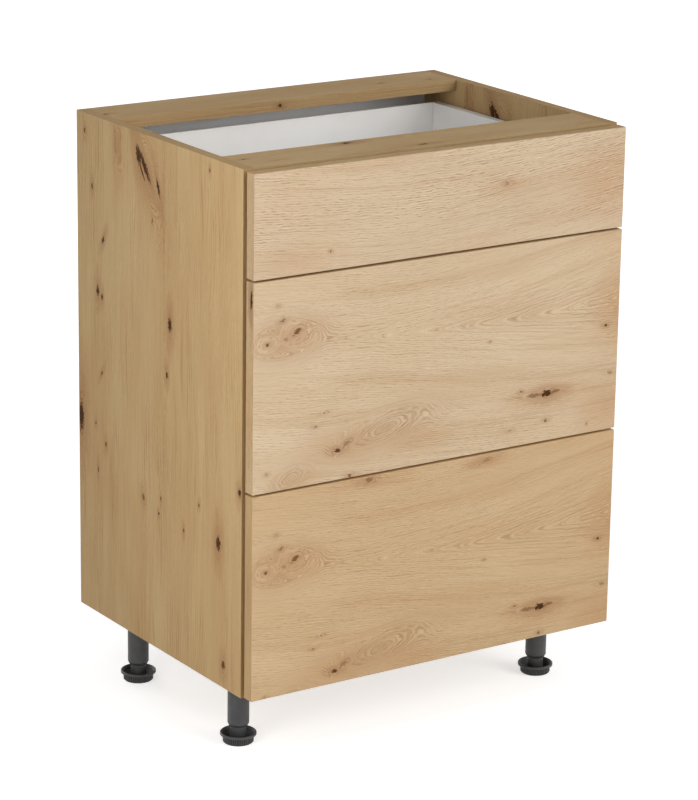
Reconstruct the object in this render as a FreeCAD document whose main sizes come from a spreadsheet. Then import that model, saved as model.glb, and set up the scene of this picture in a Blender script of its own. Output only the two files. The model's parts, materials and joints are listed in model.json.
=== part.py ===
import FreeCAD, Part
import math
import os
import Sketcher
from FreeCAD import Placement, Rotation, Vector

# Kitchen base cabinet with three drawers on roller runners, standing on four adjustable legs.
# Millimetres, +Z up. The origin is on the floor under the middle of the cabinet, and the fronts face -Y.
# Boards are drawn in the carcass frame: origin at the middle of the carcass's lower front edge.
# Drawer and runner pieces are drawn in their drawer's frame: the carcass's middle and front plane, at the
# height of the drawer sides' lower face. Distances called "in" run inwards from a side board's inner face.

DIMENSIONS = {
    # carcass
    "carcass_width": 600,
    "carcass_height": 720,
    "carcass_depth": 440,
    "board_thickness": 16,
    "board_edge_radius": 0.5,
    "rail_depth": 80,
    "back_thickness": 3,
    "back_reveal": 2,
    # cam fittings, dowels and nails that hold the carcass
    "fitting_inset": 25,
    "floor_fitting_inset": 40,
    "dowel_spacing": 32,
    "cam_radius": 7.5,
    "cam_depth": 12.5,
    "cam_play": 0.1,
    "bolt_reach": 34,
    "bolt_radius": 3,
    "bolt_head_radius": 3.2,
    "bolt_neck_radius": 1.8,
    "bolt_neck_length": 4,
    "bolt_head_length": 3,
    "bolt_thread_radius": 2.5,
    "bolt_thread_length": 10,
    "bolt_bore_radius": 3.7,
    "cam_slot_width": 1.8,
    "cam_slot_depth": 1.8,
    "dowel_radius": 4,
    "dowel_in_side": 11,
    "dowel_in_board": 19,
    "bore_spare": 0.5,
    "nail_radius": 0.8,
    "nail_head_radius": 2,
    "nail_head_thickness": 0.8,
    "nail_length": 18,
    "nail_end_inset": 60,
    "nail_spacing_up": 125,
    "nail_spacing_across": 150,
    "pilot_radius": 2.5,
    "pilot_depth": 12,
    "pilot_side_inset": 84,
    # wood screws for runners, drawers and legs
    "screw_radius": 1.75,
    "screw_length": 14,
    "screw_point": 3,
    "screw_head_radius": 3.2,
    "screw_head_top_radius": 2.2,
    "screw_head_thickness": 1.8,
    "screw_slot_length": 3.6,
    "screw_slot_width": 0.9,
    "screw_slot_depth": 0.9,
    # drawer fronts
    "front_thickness": 18,
    "front_gap": 5,
    "front_reveal": 2,
    "front_spacing": 3,
    "top_front_height": 140,
    "front_edge_radius": 1,
    # steel drawer boxes
    "drawer_rear_space": 42,
    "side_rise": 18,
    "low_side_height": 86,
    "tall_side_height": 150,
    "side_space": 15.5,
    "sheet_thickness": 1.2,
    "rim_clearance": 3,
    "rim_drop": 4,
    "bend_chamfer": 0.6,
    "lip_width": 13,
    "rear_flange_width": 12,
    "floor_thickness": 16,
    "floor_play": 0.3,
    "floor_screw_inset": 50,
    "floor_screw_spacing": 160,
    "back_screw_half_spacing": 150,
    "bracket_length": 40,
    "bracket_low": 26,
    "bracket_top_inset": 10,
    "bracket_screw_inset": 12,
    # roller runners
    "roller_radius": 7,
    "roller_width": 4,
    "roller_chamfer": 0.5,
    "roller_gap": 0.3,
    "roller_play": 0.1,
    "pin_radius": 2.5,
    "pin_play": 0.05,
    "pin_collar_radius": 4,
    "pin_head_radius": 3.5,
    "pin_head_thickness": 0.6,
    "pin_head_gap": 0.3,
    "flange_gap": 0.4,
    "runner_flange": 6.6,
    "runner_setback": 2,
    "runner_strip": 14,
    "runner_screw_rise": 8,
    "runner_screw_inset": 35,
    "runner_screw_spacing": 170,
    "front_roller_inset": 14,
    "rear_roller_inset": 12,
    "drawer_travel": 300,
    "stop_lug_length": 5,
    "stop_lug_drop": 4,
    # adjustable legs
    "leg_height": 100,
    "leg_side_inset": 47.5,
    "leg_front_inset": 82,
    "leg_rear_inset": 85,
    "leg_flange_radius": 30,
    "leg_flange_thickness": 4,
    "leg_collar_radius": 20,
    "leg_collar_height": 10,
    "leg_screw_circle": 25,
    "tube_radius": 15,
    "tube_end_radius": 12.6,
    "tube_end_height": 24,
    "tube_taper": 4.2,
    "tube_roof": 4,
    "stem_radius": 11,
    "stem_play": 0.1,
    "stem_engagement": 47.5,
    "stem_chamfer": 1.5,
    "stem_bore_radius": 7.5,
    "foot_radius": 21.3,
    "foot_rim_radius": 25.2,
    "foot_rim_height": 14.6,
    "foot_rim_depth": 5,
    "foot_rim_wall": 1.8,
    "foot_rim_slope": 1.6,
    "foot_rim_chamfer": 0.8,
    "cup_floor_radius": 16,
    "cup_floor_height": 3.2,
    "rib_groove_radius": 1,
    "foot_sole_chamfer": 1.5,
}
FOOT_RIBS = 44
SIDES = {"left": -1, "right": 1}

doc = FreeCAD.newDocument("base_cabinet")
dims = doc.addObject("Spreadsheet::Sheet", "dims")
pieces = []


class Size:
    """A length made from the sheet's cells: its number, and the expression that gives it."""

    def __init__(self, number, text):
        self.number = float(number)
        self.text = text

    def __add__(self, other):
        other = size(other)
        return Size(self.number + other.number, f"({self.text} + {other.text})")

    def __sub__(self, other):
        other = size(other)
        return Size(self.number - other.number, f"({self.text} - {other.text})")

    def __mul__(self, other):
        other = size(other)
        return Size(self.number * other.number, f"({self.text} * {other.text})")

    def __truediv__(self, other):
        other = size(other)
        return Size(self.number / other.number, f"({self.text} / {other.text})")

    def __neg__(self):
        return self * -1

    __rmul__ = __mul__

    def __radd__(self, other):
        return size(other) + self

    def __rsub__(self, other):
        return size(other) - self


def size(value):
    """The value as a Size; a plain number stands for itself."""
    return value if isinstance(value, Size) else Size(value, f"({value})")


def fill_sheet():
    """Writes each driving dimension to a cell of its own and names the cell."""
    for row, (alias, value) in enumerate(DIMENSIONS.items(), start=1):
        dims.set(f"A{row}", alias)
        dims.set(f"B{row}", str(value))
        dims.setAlias(f"B{row}", alias)
    doc.recompute()


class Cells:
    """The sheet's cells as Sizes, by alias."""

    def __getattr__(self, alias):
        return Size(dims.get(alias), f"dims.{alias}")


cell = Cells()


def bind(thing, path, value):
    """Ties one property of an object to an expression of the sheet's cells."""
    thing.setExpression(path, size(value).text)


def place(thing, x, y, z, rotation=Rotation()):
    """Puts a sub-part at a point that follows the sheet."""
    thing.Placement = Placement(Vector(size(x).number, size(y).number, size(z).number), rotation)
    for axis, value in zip("xyz", (x, y, z)):
        bind(thing, f"Placement.Base.{axis}", value)


def keep(thing, label, at, rotation=Rotation()):
    """Names a finished sub-part, places it and lists it for writing."""
    thing.Label = label
    place(thing, *at, rotation)
    pieces.append(thing)
    return thing


def new_body(label, at, rotation=Rotation()):
    return keep(doc.addObject("PartDesign::Body", label), label, at, rotation)


# ---- sketches and features ----


def add_sketch(body, plane, height):
    """A sketch parallel to one of the body's own origin planes, at a height along that plane's normal."""
    sketch = body.newObject("Sketcher::SketchObject", f"{body.Name}_sketch")
    origin_plane = next(item for item in body.Origin.OriginFeatures if item.Role == f"{plane}_Plane")
    sketch.AttachmentSupport = [(origin_plane, "")]
    sketch.MapMode = "FlatFace"
    bind(sketch, "AttachmentOffset.Base.z", height)
    return sketch


def tie_point(sketch, geometry, end, x, y):
    """Fixes a point by its two distances from the sketch's origin, each bound to the sheet."""
    for kind, axis, value in (("DistanceX", -2, size(x)), ("DistanceY", -1, size(y))):
        if value.number == 0 and "dims" not in value.text:
            sketch.addConstraint(Sketcher.Constraint("PointOnObject", geometry, end, axis))
        else:
            index = sketch.addConstraint(Sketcher.Constraint(kind, -1, 1, geometry, end, value.number))
            bind(sketch, f"Constraints[{index}]", value)


def flat(x, y):
    return Vector(size(x).number, size(y).number, 0)


def add_polygon(sketch, corners):
    """A closed outline of straight edges through the corners."""
    first = sketch.GeometryCount
    count = len(corners)
    for start, end in zip(corners, corners[1:] + corners[:1]):
        sketch.addGeometry(Part.LineSegment(flat(*start), flat(*end)))
    for index in range(count):
        after = first + (index + 1) % count
        sketch.addConstraint(Sketcher.Constraint("Coincident", first + index, 2, after, 1))
    for index, corner in enumerate(corners):
        tie_point(sketch, first + index, 1, *corner)


def add_rectangle(sketch, low, high):
    add_polygon(sketch, [low, (high[0], low[1]), high, (low[0], high[1])])


def add_circle(sketch, x, y, radius):
    circle = sketch.addGeometry(Part.Circle(flat(x, y), Vector(0, 0, 1), size(radius).number))
    tie_point(sketch, circle, 3, x, y)
    index = sketch.addConstraint(Sketcher.Constraint("Radius", circle, size(radius).number))
    bind(sketch, f"Constraints[{index}]", radius)


def pad(body, sketch, length, backwards=False):
    """Extrudes a sketch along its normal, or against it."""
    feature = body.newObject("PartDesign::Pad", f"{body.Name}_pad")
    feature.Profile = sketch
    feature.Reversed = backwards
    bind(feature, "Length", length)
    return feature


def pocket(body, sketch, depth, along_normal):
    """Cuts a sketch's shape into the body, along the sketch's normal or against it."""
    feature = body.newObject("PartDesign::Pocket", f"{body.Name}_pocket")
    feature.Profile = sketch
    feature.Reversed = along_normal
    bind(feature, "Length", depth)
    return feature


def drill(body, plane, height, circles, depth, along_normal):
    """Round blind holes of one depth, entered from one face."""
    sketch = add_sketch(body, plane, height)
    for circle in circles:
        add_circle(sketch, *circle)
    return pocket(body, sketch, depth, along_normal)


def round_edges(body, feature, radius):
    fillet = body.newObject("PartDesign::Fillet", f"{body.Name}_edges")
    fillet.Base = (feature, [""])
    fillet.UseAllEdges = True
    bind(fillet, "Radius", radius)
    return fillet


def turn(body, sketch):
    """Turns a sketch about its own upright axis."""
    feature = body.newObject("PartDesign::Revolution", f"{body.Name}_turned")
    feature.Profile = sketch
    feature.ReferenceAxis = (sketch, ["V_Axis"])
    feature.Angle = 360
    return feature


def add_block(body, low, high):
    """An upright block between two corners, joined to the body."""
    block = body.newObject("PartDesign::AdditiveBox", f"{body.Name}_block")
    for name, axis, start, end in zip(("Length", "Width", "Height"), "xyz", low, high):
        bind(block, name, size(end) - start)
        bind(block, f"Placement.Base.{axis}", start)
    return block


def add_rod(body, start, length, radius, side):
    """A round rod along X, joined to the body; it points to the cabinet's left (-1) or right (1)."""
    rod = body.newObject("PartDesign::AdditiveCylinder", f"{body.Name}_rod")
    rod.Placement = Placement(Vector(), Rotation(Vector(0, 1, 0), 90 * side))
    bind(rod, "Radius", radius)
    bind(rod, "Height", length)
    for axis, value in zip("xyz", start):
        bind(rod, f"Placement.Base.{axis}", value)
    return rod


def board(label, at, low, high, radius):
    """A rectangular board between two corners of its frame, with eased edges."""
    body = new_body(label, at)
    sketch = add_sketch(body, "XY", low[2])
    add_rectangle(sketch, low[:2], high[:2])
    round_edges(body, pad(body, sketch, size(high[2]) - low[2]), radius)
    return body


def group(label, at, solids):
    """Identical small pieces that share one node, each a solid of its own."""
    feature = doc.addObject("Part::Feature", label)
    feature.Shape = Part.makeCompound(solids)
    return keep(feature, label, at)


# ---- places that several pieces share ----


def carcass_origin():
    front_face = -(cell.carcass_depth + cell.front_gap + cell.front_thickness) / 2
    return (size(0), front_face + cell.front_thickness + cell.front_gap, cell.leg_height)


def inner_half():
    """From the middle of the carcass to a side board's inner face."""
    return cell.carcass_width / 2 - cell.board_thickness


def side_depth():
    return cell.carcass_depth - cell.back_thickness


def lower_front_height():
    """The lower two fronts are equal and share what the top one and the gaps leave."""
    used = cell.front_reveal * 2 + cell.front_spacing * 2 + cell.top_front_height
    return (cell.carcass_height - used) / 2


def drawer_table():
    """Each drawer's name, height of its front, height of its sides, and the front's lower edge."""
    lower = lower_front_height()
    first = cell.front_reveal
    second = first + lower + cell.front_spacing
    third = second + lower + cell.front_spacing
    return (
        ("bottom_drawer", lower, cell.tall_side_height, first),
        ("middle_drawer", lower, cell.tall_side_height, second),
        ("top_drawer", cell.top_front_height, cell.low_side_height, third),
    )


def drawer_origin(front_edge):
    x, y, z = carcass_origin()
    return (x, y, z + front_edge + cell.side_rise)


def roller_height():
    """The rollers' axis above the drawer sides' lower face, past a lip, a hemmed flange and a gap."""
    return cell.sheet_thickness * 3 + cell.roller_gap + cell.roller_radius


def track_half():
    """Half the clear height between the flanges that a roller runs in."""
    return cell.roller_radius + cell.roller_gap


def wall_outside():
    """How far in the drawer wall's outer face lies."""
    return cell.side_space - cell.sheet_thickness


def drawer_rear():
    return side_depth() - cell.drawer_rear_space


def rear_roller_y():
    return drawer_rear() - cell.rear_roller_inset


def stop_face_y():
    """Where the runner's rear stop faces the closed drawer's rear roller."""
    return rear_roller_y() + track_half()


def runner_end_y():
    return stop_face_y() + cell.sheet_thickness


def board_fittings():
    """Each cam-jointed end: the board's mid height, the bolts' places and the dowels' places in depth."""
    depth = side_depth()
    inset = cell.fitting_inset
    rail_height = cell.carcass_height - cell.board_thickness / 2
    floor_bolts = (cell.floor_fitting_inset, depth - cell.floor_fitting_inset)
    floor_dowels = (floor_bolts[0] + cell.dowel_spacing, floor_bolts[1] - cell.dowel_spacing)
    return {
        "bottom_panel": (cell.board_thickness / 2, floor_bolts, floor_dowels),
        "front_top_rail": (rail_height, (inset,), (cell.rail_depth - inset,)),
        "rear_top_rail": (rail_height, (depth - inset,), (depth - cell.rail_depth + inset,)),
    }


def spread(first, last, spacing):
    """Evenly spaced places from first to last, no further apart than the spacing."""
    gaps = math.ceil((size(last) - first).number / spacing.number)
    return [first + (last - first) * (index / gaps) for index in range(gaps + 1)]


def nail_rows():
    """Nail places in the back panel, by the board that they enter."""
    side_x = cell.carcass_width / 2 - cell.board_thickness / 2
    top = cell.carcass_height - cell.nail_end_inset
    heights = spread(cell.nail_end_inset, top, cell.nail_spacing_up)
    half = inner_half() - cell.nail_end_inset
    across = spread(-half, half, cell.nail_spacing_across)
    return {
        "left_side_panel": [(-side_x, z) for z in heights],
        "right_side_panel": [(side_x, z) for z in heights],
        "bottom_panel": [(x, cell.board_thickness / 2) for x in across],
        "rear_top_rail": [(x, cell.carcass_height - cell.board_thickness / 2) for x in across],
    }


def runner_screw_places():
    """Depth and height of a runner's screws, in the drawer's frame."""
    height = roller_height() + track_half() + cell.sheet_thickness + cell.runner_screw_rise
    first = cell.runner_setback + cell.runner_screw_inset
    last = runner_end_y() - cell.runner_screw_inset
    return [(y, height) for y in spread(first, last, cell.runner_screw_spacing)]


def leg_places():
    """Each leg's name and its axis, in the carcass frame."""
    x = cell.carcass_width / 2 - cell.leg_side_inset
    rear = cell.carcass_depth - cell.leg_rear_inset
    return {
        f"{depth}_{side}": (x * sign, y)
        for depth, y in (("front", cell.leg_front_inset), ("rear", rear))
        for side, sign in SIDES.items()
    }


def leg_screw_places(x, y):
    """The four screws of a leg's flange, on the diagonals."""
    reach = cell.leg_screw_circle * 0.5 ** 0.5
    return [(x + reach * i, y + reach * j) for i, j in ((1, 1), (-1, 1), (-1, -1), (1, -1))]


def drawer_floor_screw_places(side):
    """The screws up through a drawer side's lip into the drawer's bottom board."""
    x = (inner_half() - cell.side_space - cell.lip_width / 2) * side
    first = cell.floor_screw_inset - cell.front_gap
    last = drawer_rear() - cell.floor_screw_inset
    return [(x, y) for y in spread(first, last, cell.floor_screw_spacing)]


def back_lip_screw_places():
    """The screws up through the drawer back's lower lip into the drawer's bottom board."""
    y = drawer_rear() - cell.sheet_thickness * 2 - cell.lip_width / 2
    return [(cell.back_screw_half_spacing * side, y) for side in SIDES.values()]


def bracket_screw_places(side, side_height):
    """The two screws through a front bracket into the drawer front: distance across, and height."""
    x = (inner_half() - (cell.rim_clearance + wall_outside()) / 2) * side
    low = cell.bracket_low + cell.bracket_screw_inset
    high = side_height - cell.bracket_top_inset - cell.bracket_screw_inset
    return [(x, low), (x, high)]


# ---- carcass boards ----


def drill_nails(body, label):
    """Nail holes in a board's rear edge."""
    depth = cell.nail_length - cell.back_thickness
    circles = [(x, z, cell.nail_radius) for x, z in nail_rows()[label]]
    drill(body, "XZ", -side_depth(), circles, depth, True)


def side_panel(side_name, side):
    """An upright side board, drilled on its inner face for bolts, dowels and runner screws."""
    label = f"{side_name}_side_panel"
    inner = inner_half() * side
    outer = cell.carcass_width / 2 * side
    low_x, high_x = (inner, outer) if side > 0 else (outer, inner)
    low = (low_x, size(0), size(0))
    high = (high_x, side_depth(), cell.carcass_height)
    body = board(label, carcass_origin(), low, high, cell.board_edge_radius)
    outwards = side > 0
    bolts = []
    dowels = []
    for height, bolt_places, dowel_places in board_fittings().values():
        bolts += [(y, height, cell.bolt_thread_radius) for y in bolt_places]
        dowels += [(y, height, cell.dowel_radius) for y in dowel_places]
    screws = [
        (y, edge + cell.side_rise + z, cell.screw_radius)
        for _, _, _, edge in drawer_table()
        for y, z in runner_screw_places()
    ]
    drill(body, "YZ", inner, bolts, cell.bolt_thread_length + cell.bore_spare, outwards)
    drill(body, "YZ", inner, dowels, cell.dowel_in_side + cell.bore_spare, outwards)
    screw_depth = cell.screw_length - cell.sheet_thickness + cell.bore_spare
    drill(body, "YZ", inner, screws, screw_depth, outwards)
    drill_nails(body, label)
    return body


def drill_board_ends(body, label):
    """Bolt and dowel bores in a board's two ends, and the cams' bores in its underside."""
    height, bolt_places, dowel_places = board_fittings()[label]
    bolts = [(y, height, cell.bolt_bore_radius) for y in bolt_places]
    dowels = [(y, height, cell.dowel_radius) for y in dowel_places]
    for side in SIDES.values():
        drill(body, "YZ", inner_half() * side, bolts, cell.bolt_reach, side < 0)
        drill(body, "YZ", inner_half() * side, dowels, cell.dowel_in_board + cell.bore_spare, side < 0)
    reach = inner_half() - cell.bolt_reach
    cams = [(reach * side, y, cell.cam_radius) for side in SIDES.values() for y in bolt_places]
    drill(body, "XY", height - cell.board_thickness / 2, cams, cell.cam_depth, True)


def bottom_panel():
    """The board between the sides that carries the legs."""
    label = "bottom_panel"
    low = (-inner_half(), size(0), size(0))
    high = (inner_half(), side_depth(), cell.board_thickness)
    body = board(label, carcass_origin(), low, high, cell.board_edge_radius)
    drill_board_ends(body, label)
    drill_nails(body, label)
    places = [spot for x, y in leg_places().values() for spot in leg_screw_places(x, y)]
    screws = [(x, y, cell.screw_radius) for x, y in places]
    drill(body, "XY", 0, screws, cell.screw_length - cell.leg_flange_thickness + cell.bore_spare, True)
    return body


def top_rail(label, front, nailed):
    """A board laid flat between the sides, flush with their top, piloted below for worktop screws."""
    low = (-inner_half(), front, cell.carcass_height - cell.board_thickness)
    high = (inner_half(), front + cell.rail_depth, cell.carcass_height)
    body = board(label, carcass_origin(), low, high, cell.board_edge_radius)
    drill_board_ends(body, label)
    if nailed:
        drill_nails(body, label)
    x = cell.carcass_width / 2 - cell.pilot_side_inset
    pilots = [(x * side, front + cell.rail_depth / 2, cell.pilot_radius) for side in SIDES.values()]
    drill(body, "XY", low[2], pilots, cell.pilot_depth, True)
    return body


def back_panel():
    """A thin sheet over the rear edges, sunk for the nails' heads."""
    half = cell.carcass_width / 2 - cell.back_reveal
    body = new_body("back_panel", carcass_origin())
    sketch = add_sketch(body, "XZ", -side_depth())
    add_rectangle(sketch, (-half, cell.back_reveal), (half, cell.carcass_height - cell.back_reveal))
    pad(body, sketch, cell.back_thickness, backwards=True)
    places = [spot for row in nail_rows().values() for spot in row]
    shanks = [(x, z, cell.nail_radius) for x, z in places]
    drill(body, "XZ", -cell.carcass_depth, shanks, cell.back_thickness, True)
    heads = [(x, z, cell.nail_head_radius) for x, z in places]
    drill(body, "XZ", -cell.carcass_depth, heads, cell.nail_head_thickness, True)
    return body


# ---- groups of small fasteners ----


def point(x, y, z):
    return Vector(size(x).number, size(y).number, size(z).number)


def rod(start, direction, length, radius):
    return Part.makeCylinder(size(radius).number, size(length).number, start, direction)


def nail(x, z):
    """A flat-headed nail driven forwards, its head flush with the back."""
    start = point(x, cell.carcass_depth, z)
    forwards = Vector(0, -1, 0)
    head = rod(start, forwards, cell.nail_head_thickness, cell.nail_head_radius)
    return rod(start, forwards, cell.nail_length, cell.nail_radius).fuse(head).removeSplitter()


def cam_bolt(side, y, height):
    """A bolt screwed into a side board; its neck and head reach into the cam."""
    inwards = Vector(-side, 0, 0)
    face = point(inner_half() * side, y, height)
    thread = rod(face - inwards * cell.bolt_thread_length.number, inwards, cell.bolt_thread_length,
                 cell.bolt_thread_radius)
    head_end = cell.bolt_reach + cell.bolt_head_length / 2
    head_start = head_end - cell.bolt_head_length
    neck_start = head_start - cell.bolt_neck_length
    shank = rod(face, inwards, neck_start, cell.bolt_radius)
    neck = rod(face, inwards, head_end, cell.bolt_neck_radius)
    head = rod(face + inwards * head_start.number, inwards, cell.bolt_head_length, cell.bolt_head_radius)
    return thread.fuse([shank, neck, head]).removeSplitter()


def cam_lock(side, y, underside):
    """A round cam in the board's underside, open towards the bolt and slotted below for a driver."""
    inwards = Vector(-side, 0, 0)
    centre = point((inner_half() - cell.bolt_reach) * side, y, underside)
    radius = cell.cam_radius - cell.cam_play
    height = cell.cam_depth - cell.cam_play
    drum = rod(centre, Vector(0, 0, 1), height, radius)
    bolt_axis = centre + Vector(0, 0, cell.board_thickness.number / 2)
    throat_back = cell.bolt_head_length / 2 + cell.cam_play
    throat_start = bolt_axis + inwards * throat_back.number
    throat = rod(throat_start, -inwards, cell.cam_radius * 2, cell.bolt_bore_radius)
    slot_length = radius.number
    slot_width = cell.cam_slot_width.number
    slot_depth = cell.cam_slot_depth.number
    corner = centre - Vector(slot_length / 2, slot_width / 2, 0)
    slot = Part.makeBox(slot_length, slot_width, slot_depth, corner)
    return drum.cut([throat, slot])


def dowel(side, y, height):
    inwards = Vector(-side, 0, 0)
    start = point(inner_half() * side, y, height) - inwards * cell.dowel_in_side.number
    return rod(start, inwards, cell.dowel_in_side + cell.dowel_in_board, cell.dowel_radius)


def wood_screw(head_under, direction):
    """A pan-headed pointed screw with a cross slot. Its head's underside is at the given point."""
    radius = cell.screw_radius.number
    length = cell.screw_length.number
    tip = cell.screw_point.number
    head_height = cell.screw_head_thickness.number
    head_radius = cell.screw_head_radius.number
    head_top_radius = cell.screw_head_top_radius.number
    shank = Part.makeCylinder(radius, length - tip, head_under, direction)
    cone = Part.makeCone(radius, 0, tip, head_under + direction * (length - tip), direction)
    head = Part.makeCone(head_radius, head_top_radius, head_height, head_under, -direction)
    screw = shank.fuse([cone, head])
    top = head_under - direction * head_height
    turn_to = Rotation(Vector(0, 0, 1), direction)
    slot_length = cell.screw_slot_length.number
    slot_width = cell.screw_slot_width.number
    slot_depth = cell.screw_slot_depth.number
    slot_corner = Vector(-slot_length / 2, -slot_width / 2, 0)
    for quarter in (0, 90):
        slot = Part.makeBox(slot_length, slot_width, slot_depth, slot_corner)
        slot.Placement = Placement(top, turn_to.multiply(Rotation(Vector(0, 0, 1), quarter)))
        screw = screw.cut(slot)
    return screw


def fastener_groups():
    """The carcass's fasteners, one node for each kind."""
    at = carcass_origin()
    nails = [nail(x, z) for row in nail_rows().values() for x, z in row]
    group("back_panel_nails", at, nails)
    bolts = []
    cams = []
    dowels = []
    for height, bolt_places, dowel_places in board_fittings().values():
        for side in SIDES.values():
            bolts += [cam_bolt(side, y, height) for y in bolt_places]
            cams += [cam_lock(side, y, height - cell.board_thickness / 2) for y in bolt_places]
            dowels += [dowel(side, y, height) for y in dowel_places]
    group("cam_bolts", at, bolts)
    group("cam_locks", at, cams)
    group("wooden_dowels", at, dowels)
    under_flange = -cell.leg_flange_thickness
    leg_screws = [
        wood_screw(point(x, y, under_flange), Vector(0, 0, 1))
        for leg_x, leg_y in leg_places().values()
        for x, y in leg_screw_places(leg_x, leg_y)
    ]
    group("leg_screws", at, leg_screws)
    runner_screws = [
        wood_screw(point((inner_half() - cell.sheet_thickness) * side, y, edge + cell.side_rise + z),
                   Vector(side, 0, 0))
        for _, _, _, edge in drawer_table()
        for side in SIDES.values()
        for y, z in runner_screw_places()
    ]
    group("runner_screws", at, runner_screws)


# ---- drawers ----


def drawer_front(label, at, height, side_height):
    """A slab front, piloted in its rear face for the brackets' screws."""
    half = cell.carcass_width / 2 - cell.front_reveal
    body = new_body(label, at)
    sketch = add_sketch(body, "XZ", cell.front_gap)
    add_rectangle(sketch, (-half, -cell.side_rise), (half, height - cell.side_rise))
    round_edges(body, pad(body, sketch, cell.front_thickness), cell.front_edge_radius)
    places = [spot for side in SIDES.values() for spot in bracket_screw_places(side, side_height)]
    circles = [(x, z, cell.screw_radius) for x, z in places]
    depth = cell.screw_length - cell.sheet_thickness + cell.bore_spare
    drill(body, "XZ", cell.front_gap, circles, depth, True)
    return body


def side_section(side, side_height):
    """The roll-formed side: floor lip, two hemmed flanges, wall and turned-out rim."""
    sheet = cell.sheet_thickness
    hem = sheet * 2
    bend = cell.bend_chamfer
    outside = wall_outside()
    flange_tip = cell.runner_flange + cell.flange_gap
    low_track = roller_height() - track_half()
    high_track = roller_height() + track_half()
    rim_tip = cell.rim_clearance
    corners = [
        (cell.side_space + cell.lip_width, size(0)),
        (outside + bend, size(0)),
        (outside, bend),
        (outside, low_track - hem),
        (flange_tip, low_track - hem),
        (flange_tip, low_track),
        (outside, low_track),
        (outside, high_track),
        (flange_tip, high_track),
        (flange_tip, high_track + hem),
        (outside, high_track + hem),
        (outside, side_height - sheet),
        (rim_tip + sheet, side_height - sheet),
        (rim_tip + sheet, side_height - cell.rim_drop),
        (rim_tip, side_height - cell.rim_drop),
        (rim_tip, side_height - bend),
        (rim_tip + bend, side_height),
        (cell.side_space - bend, side_height),
        (cell.side_space, side_height - bend),
        (cell.side_space, sheet),
        (cell.side_space + cell.lip_width, sheet),
    ]
    return [((inner_half() - inwards) * side, height) for inwards, height in corners]


def stepped_pin(body, side, towards, start, collar_end, y, z):
    """A riveted roller pin along X: a collar to stand the roller off, the bearing and a flat head."""
    step = 1 if towards == side else -1
    inwards = -step
    bearing = cell.roller_width + cell.roller_play * 2
    head_start = collar_end + bearing * inwards
    end = head_start + cell.pin_head_thickness * inwards
    rods = (
        (start, collar_end, cell.pin_collar_radius),
        (start, end, cell.pin_radius),
        (head_start, end, cell.pin_head_radius),
    )
    for begin, finish, radius in rods:
        length = (finish - begin) * inwards
        add_rod(body, ((inner_half() - begin) * side, y, z), length, radius, towards)


def rear_collar_end():
    """How far in a rear roller pin's collar ends, past the web, the gap, the pin's head and the roller."""
    web = cell.sheet_thickness
    return web + cell.pin_head_gap + cell.pin_head_thickness + cell.roller_width + cell.roller_play * 2


def front_collar_end():
    head_end = wall_outside() - cell.pin_head_gap
    return head_end - cell.pin_head_thickness - cell.roller_width - cell.roller_play * 2


def drawer_side(label, at, side, side_height):
    """A steel drawer side with its rear flange and the pin of its rear roller."""
    body = new_body(label, at)
    section = add_sketch(body, "XZ", cell.front_gap)
    add_polygon(section, side_section(side, side_height))
    pad(body, section, drawer_rear() + cell.front_gap, backwards=True)
    sheet = cell.sheet_thickness
    wall = (inner_half() - wall_outside()) * side
    flange_edge = (inner_half() - cell.side_space - cell.rear_flange_width) * side
    low_x, high_x = (flange_edge, wall) if side > 0 else (wall, flange_edge)
    rear = drawer_rear()
    add_block(body, (low_x, rear - sheet, sheet), (high_x, rear, side_height - sheet * 2))
    stepped_pin(body, side, side, wall_outside(), rear_collar_end(), rear_roller_y(), roller_height())
    places = drawer_floor_screw_places(side)
    circles = [(x, y, cell.screw_radius) for x, y in places]
    drill(body, "XY", 0, circles, sheet, True)
    return body


def drawer_back(label, at, side_height):
    """The steel rear wall: a sheet with a lip turned back at the top and one turned forwards below."""
    body = new_body(label, at)
    sheet = cell.sheet_thickness
    half = inner_half() - cell.side_space - cell.floor_play
    rear_face = drawer_rear() - sheet
    lip_half = half - cell.lip_width
    lip_front = rear_face - sheet - cell.lip_width
    add_block(body, (-half, rear_face - sheet, sheet), (half, rear_face, side_height))
    add_block(body, (-half, rear_face, side_height - sheet), (half, drawer_rear(), side_height))
    add_block(body, (-lip_half, lip_front, size(0)), (lip_half, rear_face, sheet))
    circles = [(x, y, cell.screw_radius) for x, y in back_lip_screw_places()]
    drill(body, "XY", 0, circles, sheet, True)
    return body


def drawer_floor(label, at):
    """The board that lies on the sides' lips."""
    sheet = cell.sheet_thickness
    half = inner_half() - cell.side_space - cell.floor_play
    low = (-half, -cell.front_gap, sheet)
    high = (half, drawer_rear() - sheet * 2, sheet + cell.floor_thickness)
    body = board(label, at, low, high, cell.board_edge_radius)
    places = [spot for side in SIDES.values() for spot in drawer_floor_screw_places(side)]
    places += back_lip_screw_places()
    circles = [(x, y, cell.screw_radius) for x, y in places]
    drill(body, "XY", sheet, circles, cell.screw_length - sheet + cell.bore_spare, True)
    return body


def front_bracket(side, side_height):
    """An angle between a drawer wall's outer face and the front's rear face, as one solid."""
    sheet = cell.sheet_thickness.number
    low = cell.bracket_low.number
    height = (side_height - cell.bracket_top_inset).number - low
    near = -cell.front_gap.number
    wall = (inner_half() - wall_outside()).number
    tip = (inner_half() - cell.rim_clearance).number
    leaf = Part.makeBox(sheet, cell.bracket_length.number, height, Vector(wall, near, low))
    foot = Part.makeBox(tip - wall, sheet, height, Vector(wall, near, low))
    angle = leaf.fuse(foot)
    for x, z in bracket_screw_places(1, side_height):
        angle = angle.cut(rod(point(x, near, z), Vector(0, 1, 0), sheet, cell.screw_radius))
    angle = angle.removeSplitter()
    return angle if side > 0 else angle.mirror(Vector(), Vector(1, 0, 0))


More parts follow.
